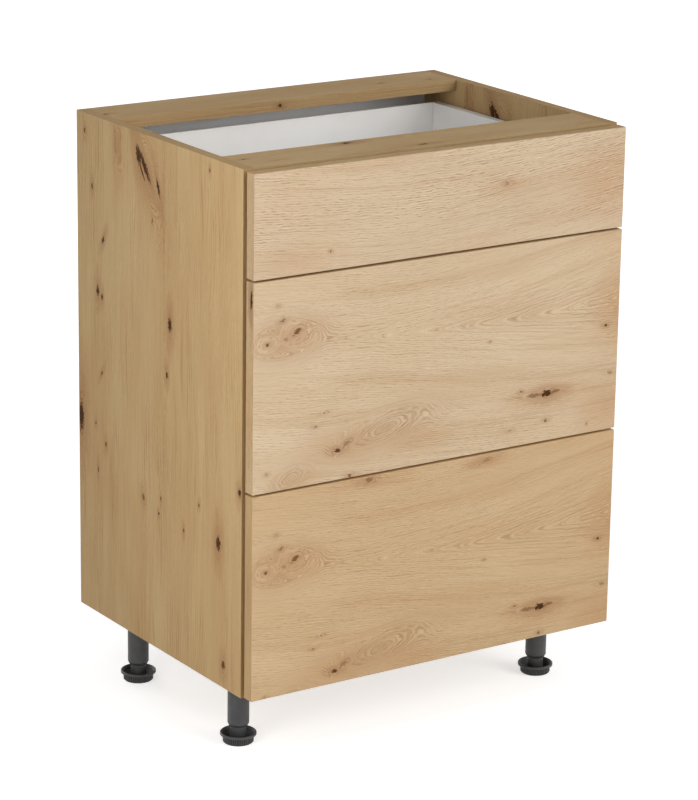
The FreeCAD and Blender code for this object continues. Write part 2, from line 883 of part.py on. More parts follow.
def drawer_screws(side_height):
    """A drawer's screws: up into its bottom board, and forwards into its front."""
    up = Vector(0, 0, 1)
    screws = [wood_screw(point(x, y, 0), up) for x, y in back_lip_screw_places()]
    rear_of_bracket = cell.sheet_thickness - cell.front_gap
    for side in SIDES.values():
        for x, y in drawer_floor_screw_places(side):
            screws.append(wood_screw(point(x, y, 0), up))
        for x, z in bracket_screw_places(side, side_height):
            screws.append(wood_screw(point(x, rear_of_bracket, z), Vector(0, -1, 0)))
    return screws


def cabinet_runner(label, at, side):
    """The fixed runner: a channel open towards the drawer, a strip for screws, stops and a roller pin."""
    body = new_body(label, at)
    sheet = cell.sheet_thickness
    tip = cell.runner_flange
    axis = roller_height()
    low = axis - track_half()
    high = axis + track_half()
    section = [
        (size(0), low - sheet),
        (tip, low - sheet),
        (tip, low),
        (sheet, low),
        (sheet, high),
        (tip, high),
        (tip, high + sheet),
        (sheet, high + sheet),
        (sheet, high + sheet + cell.runner_strip),
        (size(0), high + sheet + cell.runner_strip),
    ]
    sketch = add_sketch(body, "XZ", -cell.runner_setback)
    add_polygon(sketch, [((inner_half() - inwards) * side, height) for inwards, height in section])
    pad(body, sketch, runner_end_y() - cell.runner_setback, backwards=True)
    web = (inner_half() - sheet) * side
    edge = (inner_half() - tip) * side
    low_x, high_x = (edge, web) if side > 0 else (web, edge)
    add_block(body, (low_x, stop_face_y(), low), (high_x, runner_end_y(), high))
    lug_face = rear_roller_y() - cell.drawer_travel - track_half()
    lug_low = (low_x, lug_face - cell.stop_lug_length, high - cell.stop_lug_drop)
    add_block(body, lug_low, (high_x, lug_face, high))
    stepped_pin(body, side, -side, sheet, front_collar_end(), cell.front_roller_inset, axis)
    circles = [(y, z, cell.screw_radius) for y, z in runner_screw_places()]
    drill(body, "YZ", inner_half() * side, circles, sheet, side < 0)
    return body


def roller(label, at, side):
    """A plastic roller, bored for its pin."""
    body = new_body(label, at)
    radius = cell.roller_radius
    bore = cell.pin_radius + cell.pin_play
    ease = cell.roller_chamfer
    width = cell.roller_width
    corners = [
        (bore, size(0)),
        (radius - ease, size(0)),
        (radius, ease),
        (radius, width - ease),
        (radius - ease, width),
        (bore, width),
    ]
    sketch = add_sketch(body, "XZ", 0)
    add_polygon(sketch, corners)
    turn(body, sketch)
    body.Placement = Placement(body.Placement.Base, Rotation(Vector(0, 1, 0), -90 * side))
    return body


def rollers(name, at):
    """A drawer's four rollers: two on the cabinet runners' front ends, two on the drawer's rear ends."""
    x, y, z = at
    ends = {
        "front": (front_collar_end() + cell.roller_play, cell.front_roller_inset),
        "rear": (rear_collar_end() - cell.roller_play - cell.roller_width, rear_roller_y()),
    }
    for end, (near, depth) in ends.items():
        for side_name, side in SIDES.items():
            label = f"{name}_{end}_{side_name}_roller"
            spot = ((inner_half() - near) * side, y + depth, z + roller_height())
            roller(label, spot, side)


def drawer(name, front_height, side_height, front_edge):
    """Everything that makes one drawer and its runners."""
    at = drawer_origin(front_edge)
    drawer_front(f"{name}_front", at, front_height, side_height)
    for side_name, side in SIDES.items():
        drawer_side(f"{name}_{side_name}_side", at, side, side_height)
        cabinet_runner(f"{name}_{side_name}_runner", at, side)
    drawer_back(f"{name}_back", at, side_height)
    drawer_floor(f"{name}_floor", at)
    brackets = [front_bracket(side, side_height) for side in SIDES.values()]
    group(f"{name}_front_brackets", at, brackets)
    group(f"{name}_screws", at, drawer_screws(side_height))
    rollers(name, at)


# ---- legs ----


def leg_tube(label, at):
    """A moulded leg: screw flange, collar and outer tube, bored from below for the foot's stem."""
    body = new_body(label, at)
    top = cell.leg_height
    under_flange = top - cell.leg_flange_thickness
    bore = cell.stem_radius + cell.stem_play
    end = cell.tube_end_height
    corners = [
        (size(0), top),
        (cell.leg_flange_radius, top),
        (cell.leg_flange_radius, under_flange),
        (cell.leg_collar_radius, under_flange),
        (cell.tube_radius, under_flange - cell.leg_collar_height),
        (cell.tube_radius, end + cell.tube_taper),
        (cell.tube_end_radius, end),
        (bore, end),
        (bore, top - cell.tube_roof),
        (size(0), top - cell.tube_roof),
    ]
    sketch = add_sketch(body, "XZ", 0)
    add_polygon(sketch, corners)
    turn(body, sketch)
    circles = [(x, y, cell.screw_radius) for x, y in leg_screw_places(size(0), size(0))]
    drill(body, "XY", under_flange, circles, cell.leg_flange_thickness, True)
    return body


def leg_foot(label, at):
    """The foot that screws into the leg: sole, ribbed skirt, dished grip ring and hollow stem."""
    body = new_body(label, at)
    rim = cell.foot_rim_radius
    rim_top = cell.foot_rim_height
    ease = cell.foot_rim_chamfer
    sole = cell.foot_sole_chamfer
    stem = cell.stem_radius
    stem_top = cell.tube_end_height + cell.stem_engagement
    corners = [
        (size(0), size(0)),
        (cell.foot_radius - sole, size(0)),
        (cell.foot_radius, sole),
        (cell.foot_radius, rim_top - cell.foot_rim_depth),
        (rim, rim_top - cell.foot_rim_depth + cell.foot_rim_slope),
        (rim, rim_top - ease),
        (rim - ease, rim_top),
        (rim - cell.foot_rim_wall, rim_top),
        (cell.cup_floor_radius, cell.cup_floor_height),
        (stem, cell.cup_floor_height),
        (stem, stem_top - cell.stem_chamfer),
        (stem - cell.stem_chamfer, stem_top),
        (cell.stem_bore_radius, stem_top),
        (cell.stem_bore_radius, cell.cup_floor_height),
        (size(0), cell.cup_floor_height),
    ]
    sketch = add_sketch(body, "XZ", 0)
    add_polygon(sketch, corners)
    turn(body, sketch)
    groove_sketch = add_sketch(body, "XY", 0)
    add_circle(groove_sketch, cell.foot_radius, 0, cell.rib_groove_radius)
    depth = rim_top - cell.foot_rim_depth
    groove = pocket(body, groove_sketch, depth, True)
    ribs = body.newObject("PartDesign::PolarPattern", f"{body.Name}_ribs")
    ribs.Originals = [groove]
    ribs.Axis = (groove_sketch, ["N_Axis"])
    ribs.Angle = 360
    ribs.Occurrences = FOOT_RIBS
    body.Tip = ribs
    return body


def legs():
    front = carcass_origin()[1]
    for name, (x, y) in leg_places().items():
        at = (x, front + y, size(0))
        leg_tube(f"{name}_leg", at)
        leg_foot(f"{name}_foot", at)


# ---- checks and output ----


def check_model():
    """Stops if an object failed, a cut removed nothing, or a sub-part isn't a sound solid."""
    for thing in doc.Objects:
        if "Invalid" in thing.State or "Error" in thing.State:
            raise RuntimeError(f"{thing.Label} failed: {thing.State}")
        if thing.TypeId == "PartDesign::Pocket":
            before = thing.BaseFeature.Shape.Volume
            if thing.Shape.Volume >= before:
                raise RuntimeError(f"{thing.Label} cuts nothing")
    for piece in pieces:
        if piece.Shape.isNull() or not piece.Shape.isValid():
            raise RuntimeError(f"{piece.Label} has no valid shape")


def write_pieces():
    os.makedirs("parts", exist_ok=True)
    for piece in pieces:
        piece.Shape.exportStep(f"parts/{piece.Label}.step")


def main():
    fill_sheet()
    for side_name, side in SIDES.items():
        side_panel(side_name, side)
    bottom_panel()
    top_rail("front_top_rail", size(0), nailed=False)
    top_rail("rear_top_rail", side_depth() - cell.rail_depth, nailed=True)
    back_panel()
    fastener_groups()
    for entry in drawer_table():
        drawer(*entry)
    legs()
    doc.recompute()
    check_model()
    write_pieces()
    print(f"{len(pieces)} sub-parts written")


main()
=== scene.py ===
import json
import math
from typing import NamedTuple

import bpy
from mathutils import Matrix, Vector


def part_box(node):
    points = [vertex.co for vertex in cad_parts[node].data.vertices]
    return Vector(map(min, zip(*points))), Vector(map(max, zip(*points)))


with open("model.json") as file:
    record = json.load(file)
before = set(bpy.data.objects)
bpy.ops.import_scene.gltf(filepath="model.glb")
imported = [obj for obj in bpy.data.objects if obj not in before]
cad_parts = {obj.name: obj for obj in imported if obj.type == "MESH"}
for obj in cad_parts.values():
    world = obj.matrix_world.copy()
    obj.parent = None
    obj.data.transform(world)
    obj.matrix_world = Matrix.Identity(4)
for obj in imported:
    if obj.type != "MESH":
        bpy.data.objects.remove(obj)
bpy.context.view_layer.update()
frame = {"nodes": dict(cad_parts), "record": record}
NODES = frame["nodes"]
MM = 0.001
X, Y, Z = 0, 1, 2

# ---------------------------------------------------------------- node trees

# The sockets of a mix node for each kind of value: its two inputs and its output.
MIX_SOCKETS = {"FLOAT": (2, 3, 0), "VECTOR": (4, 5, 1), "RGBA": (6, 7, 2)}


class Tree:
    """A node tree that is written as calls, each giving back an output socket."""

    def __init__(self, data):
        self.data = data

    def node(self, kind, **settings):
        node = self.data.nodes.new(kind)
        for name, value in settings.items():
            setattr(node, name, value)
        return node

    def feed(self, socket, value):
        """Links an output to a socket, or writes a plain value on it."""
        if isinstance(value, bpy.types.NodeSocket):
            self.data.links.new(value, socket)
        else:
            socket.default_value = value

    def outputs(self, kind, inputs, **settings):
        """The outputs of a new node with these inputs."""
        node = self.node(kind, **settings)
        for name, value in inputs.items():
            self.feed(node.inputs[name], value)
        return node.outputs

    def call(self, kind, inputs, output=0, **settings):
        return self.outputs(kind, inputs, **settings)[output]

    def group(self, tree, inputs):
        return self.outputs("ShaderNodeGroup", inputs, node_tree=tree)

    def math(self, operation, *values):
        return self.call("ShaderNodeMath", dict(enumerate(values)), operation=operation)

    def add(self, first, second):
        return self.math("ADD", first, second)

    def subtract(self, first, second):
        return self.math("SUBTRACT", first, second)

    def multiply(self, first, second):
        return self.math("MULTIPLY", first, second)

    def multiply_add(self, first, second, added):
        return self.math("MULTIPLY_ADD", first, second, added)

    def swayed(self, value, noise, amount):
        """The value, moved by half the amount down to half of it up as the noise goes 0 to 1."""
        return self.multiply_add(self.subtract(noise, 0.5), amount, value)

    def span(self, value, low, high, to_low=0.0, to_high=1.0, smooth=True):
        """Turns low to high into to_low to to_high, and keeps these two beyond them."""
        kind = "SMOOTHSTEP" if smooth else "LINEAR"
        inputs = {0: value, 1: low, 2: high, 3: to_low, 4: to_high}
        return self.call("ShaderNodeMapRange", inputs, interpolation_type=kind)

    def mix(self, share, first, second, kind="RGBA", blend="MIX"):
        first_input, second_input, output = MIX_SOCKETS[kind]
        inputs = {0: share, first_input: first, second_input: second}
        return self.call("ShaderNodeMix", inputs, output, data_type=kind, blend_type=blend)

    def vector_math(self, operation, *values):
        return self.call("ShaderNodeVectorMath", dict(enumerate(values)), operation=operation)

    def scaled(self, vector, scales):
        return self.vector_math("MULTIPLY", vector, scales)

    def length(self, vector):
        return self.call("ShaderNodeVectorMath", {0: vector}, 1, operation="LENGTH")

    def combine(self, x=0.0, y=0.0, z=0.0):
        return self.call("ShaderNodeCombineXYZ", {0: x, 1: y, 2: z})

    def separate(self, vector):
        return tuple(self.outputs("ShaderNodeSeparateXYZ", {0: vector}))

    def local(self, vector, centre, size, turn=(0.0, 0.0, 0.0)):
        """A place in the coordinates of a turned ellipsoid, whose surface is at a length of 1."""
        inputs = {"Vector": vector, "Location": centre, "Rotation": turn, "Scale": size}
        return self.call("ShaderNodeMapping", inputs, vector_type="TEXTURE")

    def noise(self, vector, scale=1.0, detail=2.0, roughness=0.5):
        inputs = {"Vector": vector, "Scale": scale, "Detail": detail, "Roughness": roughness}
        return self.call("ShaderNodeTexNoise", inputs)

    def cells(self, vector, scale):
        """A value of its own for each cell, with this many cells to a metre."""
        colour = self.call("ShaderNodeTexVoronoi", {"Vector": vector, "Scale": scale}, 1)
        return self.separate(colour)[0]


def new_group(name, inputs, outputs):
    """A node group with these sockets: its tree, what it is given and what it gives back."""
    data = bpy.data.node_groups.new(name, "ShaderNodeTree")
    for label, kind in inputs.items():
        data.interface.new_socket(label, in_out="INPUT", socket_type=kind)
    for label, kind in outputs.items():
        data.interface.new_socket(label, in_out="OUTPUT", socket_type=kind)
    tree = Tree(data)
    return tree, tree.node("NodeGroupInput").outputs, tree.node("NodeGroupOutput").inputs


def new_material(name):
    """A material, its tree and its shader."""
    material = bpy.data.materials.new(name)
    material.use_nodes = True
    material.node_tree.nodes.clear()
    tree = Tree(material.node_tree)
    shader = tree.node("ShaderNodeBsdfPrincipled")
    output = tree.node("ShaderNodeOutputMaterial")
    tree.feed(output.inputs[0], shader.outputs[0])
    return material, tree, shader


def finish_shader(tree, shader, colour, roughness, height, depth):
    """Feeds a shader its colour, its roughness and a bump of this depth in metres."""
    bump = tree.call("ShaderNodeBump", {"Height": height, "Distance": depth})
    tree.feed(shader.inputs["Base Color"], colour)
    tree.feed(shader.inputs["Roughness"], roughness)
    tree.feed(shader.inputs["Normal"], bump)


def dress(node, material):
    """Puts one material on a CAD node."""
    mesh = NODES[node].data
    mesh.materials.clear()
    mesh.materials.append(material)


def srgb(red, green, blue):
    """A linear colour from the 0 to 255 values that it shows as, by the sRGB standard."""
    def linear(value):
        share = value / 255
        if share <= 0.04045:
            return share / 12.92
        return ((share + 0.055) / 1.055) ** 2.4
    return (linear(red), linear(green), linear(blue), 1.0)


# ---------------------------------------------------------------- knotty oak: knots and growth

# Places on a board are in grain coordinates: x along the grain, y across it, z through the
# board, in metres. A growth line is where the growth value stays the same. Without knots that
# value is about y.

VALUE = "NodeSocketFloat"
VECTOR = "NodeSocketVector"
COLOUR = "NodeSocketColor"
FLAT = 1e6  # a mark's size through the board: it looks the same at every depth
TRACE = 1e-9  # too little of a value to show

# Distances from a knot's centre, in knot radii.
RING_REACH = 2.0  # the growth lines close into rings up to here
BEND_STARTS, BEND_FULL = RING_REACH * 1.4, RING_REACH * 0.6
CORE_EDGE, CORE_FULL = 1.15, 0.55
HALO_SHAPE = (0.6, 1.0, 1.0)  # the browned wood reaches further along the grain
HALO_FRAYED = 0.5  # how much of the wobble goes into the halo's outline
HALO_FADE = -0.22  # how the halo fades, by its distance squared
HALO_LEAST, HALO_BY_DARKNESS = 0.25, 0.65  # its strength, and what a dark knot adds to it


def make_knot_group():
    """One knot: bends the growth lines into rings, darkens its core, browns the wood around it.

    Marks holds growth, core and halo. A knot with no darkness has no core, and browns little.
    The place goes on with a trace of the marks, so the next knot waits for this one and few
    values are alive at once.
    """
    inputs = {
        "Place": VECTOR, "Marks": VECTOR, "Wobble": VALUE, "Centre": VECTOR, "Turn": VECTOR,
        "Size": VECTOR, "Radius": VALUE, "Level": VALUE, "Dark": VALUE,
    }
    tree, given, out = new_group("knot", inputs, {"Place": VECTOR, "Marks": VECTOR})
    growth, core, halo = tree.separate(given["Marks"])
    spot = tree.local(given["Place"], given["Centre"], given["Size"], given["Turn"])
    distance = tree.length(spot)

    outward = tree.subtract(distance, RING_REACH)
    ring = tree.multiply_add(outward, given["Radius"], given["Level"])
    zone = tree.span(distance, BEND_STARTS, BEND_FULL)
    growth = tree.multiply_add(zone, tree.subtract(ring, growth), growth)

    ragged = tree.add(given["Wobble"], distance)
    dark = tree.multiply(tree.span(ragged, CORE_EDGE, CORE_FULL), given["Dark"])
    core = tree.math("MAXIMUM", core, dark)

    winged = tree.length(tree.scaled(spot, HALO_SHAPE))
    frayed = tree.multiply_add(given["Wobble"], HALO_FRAYED, winged)
    spread = tree.math("EXPONENT", tree.multiply(tree.multiply(frayed, winged), HALO_FADE))
    strength = tree.multiply_add(given["Dark"], HALO_BY_DARKNESS, HALO_LEAST)
    halo = tree.math("MAXIMUM", halo, tree.multiply(spread, strength))

    marks = tree.combine(growth, core, halo)
    place = tree.vector_math("MULTIPLY_ADD", marks, (TRACE, TRACE, TRACE), given["Place"])
    tree.feed(out["Marks"], marks)
    tree.feed(out["Place"], place)
    return tree.data


class Grain(NamedTuple):
    """Noise drawn out along the grain: its marks' length and width in metres, and its kind.

    Two noises with different starts have different marks.
    """
    length: float
    width: float
    start: float
    detail: float = 2.0
    roughness: float = 0.5


DEPTH_SCALE = 3.0  # how fast the noise changes through the board, for each metre
SWAY, SWAY_AMOUNT = Grain(0.40, 0.16, 3.1), 0.022
RIPPLE, RIPPLE_AMOUNT = Grain(0.045, 0.020, 7.7, detail=1.0), 0.0040


def grain_noise(tree, place, side, grain):
    """Drawn-out noise, the same across for all that shares one side value."""
    along, _, depth = tree.separate(place)
    layer = tree.multiply_add(depth, DEPTH_SCALE, grain.start)
    lengths = tree.math("DIVIDE", along, grain.length)
    widths = tree.math("DIVIDE", side, grain.width)
    spot = tree.combine(lengths, widths, layer)
    return tree.noise(spot, detail=grain.detail, roughness=grain.roughness)


def make_growth_group():
    """The growth lines of wood without knots: nearly straight, gently swaying."""
    inputs = {"Place": VECTOR, "Start": VALUE}
    tree, given, out = new_group("growth", inputs, {"Growth": VALUE})
    across = tree.separate(given["Place"])[1]
    sway = grain_noise(tree, given["Place"], across, SWAY)
    ripple = grain_noise(tree, given["Place"], across, RIPPLE)
    growth = tree.swayed(given["Start"], sway, SWAY_AMOUNT)
    tree.feed(out["Growth"], tree.swayed(growth, ripple, RIPPLE_AMOUNT))
    return tree.data


# ---------------------------------------------------------------- knotty oak: colour and relief

# Metres between the long dark lines, between the short embossed dashes, and between the thin
# lines around the knots, and how far each kind drifts, in these spacings.
LINE_SPACING, LINE_DRIFT = 0.0062, 4.0
DASH_SPACING, DASH_DRIFT = 0.0032, 1.8
RING_SPACING, RING_DRIFT = 0.0028, 3.0

PATCHES = Grain(0.24, 0.055, 1.3)  # of pale and tan wood
WARMTH = Grain(0.45, 0.016, 5.2, 3.0, 0.6)  # rosy streaks
FIBRES = Grain(0.10, 0.0030, 9.4, 2.0, 0.6)  # thin dark fibres
GATE = Grain(0.22, 0.03, 15.1, detail=1.0)  # where the long lines show
DRIFT = Grain(0.30, 0.012, 21.4)  # moves the long lines and the rings
BREAKS = Grain(0.0095, 0.0030, 12.8, detail=1.0)  # cuts the dashes short
WEAVE = Grain(0.045, 0.012, 17.9, detail=1.0)  # moves the dashes and thins the rings

# Plain noise by its scales along, across and through the board, for each metre.
UNREST_SCALES = (55.0, 170.0, 1.0)  # frays the growth lines
PRESENCE_SCALES = (4.0, 11.0, 1.0)  # where the dashes are dense
CLOUD_SCALES = (3.2, 5.0, 1.0)  # broad warm clouds

# How far the unrest moves the growth lines, in metres, and how much more in a full halo.
UNREST_LEAST, UNREST_BY_HALO = 0.0030, 0.011

# Spans, for Tree.span: a value's low and high, and what these become where it isn't 0 and 1.
GATE_OPENS = (0.45, 0.66, 0.10, 0.8)
LINE_BY_HALO = (0.04, 0.20, 1.0, 0.3)
LINE_CREST = (0.35, 1.0)
RING_CREST = (0.0, 0.9)
RING_BY_HALO = (0.03, 0.28, 0.0, 0.5)
RING_BY_WEAVE = (0.35, 0.60, 0.4, 1.0)
DASH_PRESENCE = (0.36, 0.60, 0.45, 1.15)
DASH_BREAKS = (0.40, 0.66)
DARK_DASH_CREST = (0.05, 0.85)
PALE_DASH_CREST = (0.0, -0.9)
TAN_BY_PATCHES = (0.30, 0.72, 0.15, 0.75)
CLOUD_EDGE = (0.50, 0.72)
ROSE_BY_WARMTH = (0.50, 0.72, 0.0, 0.30)
DARK_BY_FIBRES = (0.5, 0.8, 0.0, 0.22)
CORE_RIM_SPAN = (0.0, 0.6)
CORE_HEART_SPAN = (0.4, 1.0)
ROUGH_BY_PATCHES = (0.3, 0.7, 0.50, 0.58)

DARK_DASH_STRENGTH, PALE_DASH_STRENGTH = 1.35, 0.85
HALO_POWER, HALO_STRENGTH = 1.4, 0.7
PALE_DASH_HEIGHT, LINE_DEPTH = 0.5, 0.5  # against a dark dash's depth of 1
ROUGH_BY_DASH = 0.14

CLOUD_TINT = srgb(205, 166, 122)
STAIN_TINT = srgb(186, 140, 98)
ROSE_TINT = srgb(184, 146, 108)
PALE_DASH_TINT = srgb(236, 220, 196)
HALO_TINT = srgb(160, 116, 82)
CORE_RIM_TINT = srgb(126, 92, 60)
CORE_HEART_TINT = srgb(74, 48, 26)


def wave(tree, growth, spacing, drift, amount):
    """A wave from -1 to 1 across the growth lines, with its crests moved by a noise."""
    phase = tree.multiply_add(drift, amount, tree.math("DIVIDE", growth, spacing))
    return tree.math("SINE", tree.multiply(phase, math.tau))


def make_oak_group():
    """Colour, height and roughness of the decor at a place in grain coordinates."""
    inputs = {
        "Place": VECTOR, "Marks": VECTOR, "Pale": COLOUR, "Tan": COLOUR, "Dark": COLOUR,
        "Lines": VALUE, "Dashes": VALUE, "Clouds": VALUE, "Stain": VALUE, "Drawn": VALUE,
    }
    outputs = {"Colour": COLOUR, "Height": VALUE, "Roughness": VALUE}
    tree, given, out = new_group("oak", inputs, outputs)
    place = given["Place"]
    growth, core, halo = tree.separate(given["Marks"])
    unrest = tree.noise(tree.scaled(place, UNREST_SCALES), roughness=0.6)
    reach = tree.multiply_add(halo, UNREST_BY_HALO, UNREST_LEAST)
    growth = tree.swayed(growth, unrest, reach)
    patches = grain_noise(tree, place, growth, PATCHES)
    warmth = grain_noise(tree, place, growth, WARMTH)
    fibres = grain_noise(tree, place, growth, FIBRES)
    gate = grain_noise(tree, place, growth, GATE)
    drift = grain_noise(tree, place, growth, DRIFT)
    breaks = grain_noise(tree, place, growth, BREAKS)
    weave = grain_noise(tree, place, growth, WEAVE)

    line_wave = wave(tree, growth, LINE_SPACING, drift, LINE_DRIFT)
    gated = tree.multiply(tree.span(gate, *GATE_OPENS), given["Lines"])
    gated = tree.math("MAXIMUM", gated, given["Drawn"])
    gated = tree.multiply(gated, tree.span(halo, *LINE_BY_HALO))
    line = tree.multiply(tree.span(line_wave, *LINE_CREST), gated)
    ring_wave = wave(tree, growth, RING_SPACING, drift, RING_DRIFT)
    ringed = tree.multiply(tree.span(ring_wave, *RING_CREST), tree.span(halo, *RING_BY_HALO))
    ringed = tree.multiply(ringed, tree.span(weave, *RING_BY_WEAVE))
    line = tree.math("MAXIMUM", line, ringed)
    dash_wave = wave(tree, growth, DASH_SPACING, weave, DASH_DRIFT)
    presence = tree.noise(tree.scaled(place, PRESENCE_SCALES), detail=1.0)
    dashes = tree.multiply(given["Dashes"], tree.span(presence, *DASH_PRESENCE))
    broken = tree.span(breaks, *DASH_BREAKS)
    dark_dash = tree.multiply(broken, tree.span(dash_wave, *DARK_DASH_CREST))
    pale_dash = tree.multiply(broken, tree.span(dash_wave, *PALE_DASH_CREST))

    colour = tree.mix(tree.span(patches, *TAN_BY_PATCHES), given["Pale"], given["Tan"])
    cloud = tree.noise(tree.scaled(place, CLOUD_SCALES))
    clouded = tree.span(cloud, *CLOUD_EDGE, 0.0, given["Clouds"])
    colour = tree.mix(clouded, colour, CLOUD_TINT)
    colour = tree.mix(given["Stain"], colour, STAIN_TINT)
    colour = tree.mix(tree.span(warmth, *ROSE_BY_WARMTH), colour, ROSE_TINT)
    colour = tree.mix(tree.span(fibres, *DARK_BY_FIBRES), colour, given["Dark"])
    colour = tree.mix(line, colour, given["Dark"])
    dark_share = tree.multiply(dark_dash, tree.multiply(dashes, DARK_DASH_STRENGTH))
    colour = tree.mix(dark_share, colour, given["Dark"])
    pale_share = tree.multiply(pale_dash, tree.multiply(dashes, PALE_DASH_STRENGTH))
    colour = tree.mix(pale_share, colour, PALE_DASH_TINT)
    browned = tree.multiply(tree.math("POWER", halo, HALO_POWER), HALO_STRENGTH)
    colour = tree.mix(browned, colour, HALO_TINT)
    colour = tree.mix(tree.span(core, *CORE_RIM_SPAN), colour, CORE_RIM_TINT)
    colour = tree.mix(tree.span(core, *CORE_HEART_SPAN), colour, CORE_HEART_TINT)

    height = tree.subtract(tree.multiply(pale_dash, PALE_DASH_HEIGHT), dark_dash)
    height = tree.subtract(height, tree.multiply(line, LINE_DEPTH))
    height = tree.subtract(height, core)
    roughness = tree.span(patches, *ROUGH_BY_PATCHES)
    tree.feed(out["Colour"], colour)
    tree.feed(out["Height"], height)
    tree.feed(out["Roughness"], tree.multiply_add(dark_dash, ROUGH_BY_DASH, roughness))
    return tree.data


KNOT = make_knot_group()
GROWTH = make_growth_group()
OAK = make_oak_group()

# ---------------------------------------------------------------- knotty oak: what each board shows

# Knots as (along, across, radius, length over radius, turn in degrees, darkness), in mm. The
# edges and ends of a board take their decor from beyond its faces, as EDGE_ALONG, END_ALONG and
# END_APART say, with the place through the board plus its shift as across. So the places with
# thousands of mm across are on an edge or an end.
SIDE_KNOTS = [
    (764, 28, 16, 2.6, 20, 0.0), (776, 42, 5, 5.2, 36, 1.0), (754, 6, 3, 4.4, 20, 1.0),
    (788, 58, 7, 2.0, 16, 1.0), (768, 49, 2, 8.0, 33, 0.9), (795, 206, 3, 1.4, 0, 0.6),
    (721, 186, 3, 1.6, 0, 0.6), (651, 156, 3, 2.2, -25, 0.8), (803, -126, 2, 1.5, 0, 0.6),
    (706, 22, 2, 2.0, 0, 0.5), (576, 172, 4, 1.9, 0, 1.0), (569, 160, 3, 1.5, 0, 0.8),
    (572, -24, 5, 2.2, 0, 1.0), (500, -16, 3, 1.8, 0, 0.9), (459, 162, 2, 2.4, -30, 0.7),
    (382, 222, 8, 2.9, 0, 1.0), (382, 180, 2, 1.5, 0, 0.6), (358, 152, 3, 1.5, 0, 0.55),
    (315, 174, 2, 2.6, 0, 0.6), (310, 48, 4, 1.5, 0, 0.5), (321, 0, 2, 2.0, 0, 0.7),
    (298, 6, 2, 1.5, 0, 0.7), (340, -100, 2, 1.4, 0, 0.8), (386, -203, 4, 1.5, 0, 1.0),
    (301, -150, 6, 1.8, 0, 1.0), (133, -164, 5, 1.4, 0, 0.75), (293, -60, 2, 1.8, 0, 0.7),
    (790, 112, 8, 2.6, 0, 0.1), (610, -9, 2.5, 36, 0, 0.10), (800, 122, 3, 6.0, 0, 0.2),
    (788, 108, 2, 8.0, 0, 0.2),
]
TALL_FRONT_KNOTS = [
    (-252, 592, 17, 2.0, 4, 0.0), (-276, 591, 7, 1.3, 0, 0.0), (-234, 600, 10, 1.4, 10, 0.0),
    (-276, 591, 2.5, 1.2, 0, 0.70), (-231, 603, 4, 1.7, 25, 0.55), (-248, 594, 3, 1.4, 0, 0.25),
    (-253, 620, 2.5, 1.6, 10, 0.45), (-261, 641, 2, 1.2, 0, 0.2), (276, 541, 2, 1.3, 0, 0.8),
    (177, 458, 5.5, 1.6, 0, 1.0), (155, 458, 3, 4.0, 0, 0.4), (133, 466, 2, 1.3, 0, 0.5),
    (78, 545, 1.5, 1.3, 0, 0.3), (-90, 450, 13, 3.2, 14, 0.0), (-166, 431, 3.5, 1.6, 0, 0.8),
    (-152, 438, 4, 2.2, 30, 0.3), (-201, 469, 1.8, 1.8, 0, 0.35), (-277, 415, 2, 1.3, 0, 0.3),
    (-146, 393, 3, 1.3, 0, 0.5), (-188, 486, 1.8, 1.9, 10, 0.25), (115, 414, 2, 2.0, 0, 0.25),
    (176, 419, 2, 1.3, 0, 0.45), (248, 403, 1.5, 0.5, 0, 0.7), (286, 472, 2, 2.2, 0, 0.35),
    (-115, 693, 4, 1.6, 0, 0.4), (-240, 404, 9, 1.8, 20, 0.0), (1262, 4774, 3, 4.5, 0, 0.9),
    (78, 689, 4, 2.4, 10, 0.24), (190, 459, 2.5, 3.4, 6, 0.45),
]
TOP_FRONT_KNOTS = [(100, 762, 3, 1.2, 0, 0.24), (-181, 703, 2, 0.8, 0, 0.40)]
REAR_RAIL_KNOTS = [
    (-236, 142, 3, 1.5, 0, 0.8), (-281, 181, 3, 1.5, 0, 0.7), (173, 180, 2, 1.5, 0, 0.7),
    (251, 170, 2, 1.5, 0, 0.7), (351, 3112, 2.5, 1.3, 0, 0.9),
]
FRONT_RAIL_KNOTS = [
    (-269, -158, 2, 1.5, 0, 0.8), (-98, -140, 4, 2.2, 0, 1.0), (-13, -195, 3, 2.5, 0, 0.8),
]
BOTTOM_KNOTS = [(-120, 40, 5, 1.5, 0, 0.9), (150, -90, 3, 1.5, 0, 0.8)]

# Soft warm patches as (along, across, half length, half width, strength), in mm, placed as the
# knots are.
SIDE_STAINS = [
    (795, 114, 50, 16, 0.45), (715, -2, 75, 10, 0.40), (560, -22, 60, 8, 0.30),
    (770, 40, 45, 30, 0.25), (390, 205, 90, 20, 0.30), (300, -150, 50, 14, 0.35),
    (200, 60, 90, 14, 0.20),
]
TALL_FRONT_STAINS = [
    (300, 565, 50, 60, 0.60), (185, 456, 75, 22, 0.40), (-165, 436, 70, 26, 0.35),
    (-240, 598, 60, 30, 0.45), (285, 425, 60, 40, 0.50), (-110, 690, 70, 14, 0.30),
    (90, 590, 90, 16, 0.22), (-44, 428, 60, 22, 0.40), (-225, 395, 40, 22, 0.30),
    (78, 688, 44, 9, 0.60),
]
TOP_FRONT_STAINS = [
    (-230, 700, 70, 22, 0.30), (100, 762, 40, 14, 0.30), (270, 745, 60, 50, 0.45),
]
REAR_RAIL_STAINS = [
    (330, 3108, 260, 1.4, 0.6), (520, 3114, 200, 1.2, 0.6), (120, 3113, 120, 1.2, 0.5),
]
STAIN_FADES = 1.6  # a warm patch is gone at this many times its size
DECOR_STEP = 311 * MM  # the bottom front shows the middle front's decor, this much lower


class Decor(NamedTuple):
    """A decor's colours, how strong its marks are, and the tint of its long edges."""
    pale: tuple
    tan: tuple
    dark: tuple
    lines: float
    dashes: float
    clouds: float
    band: tuple


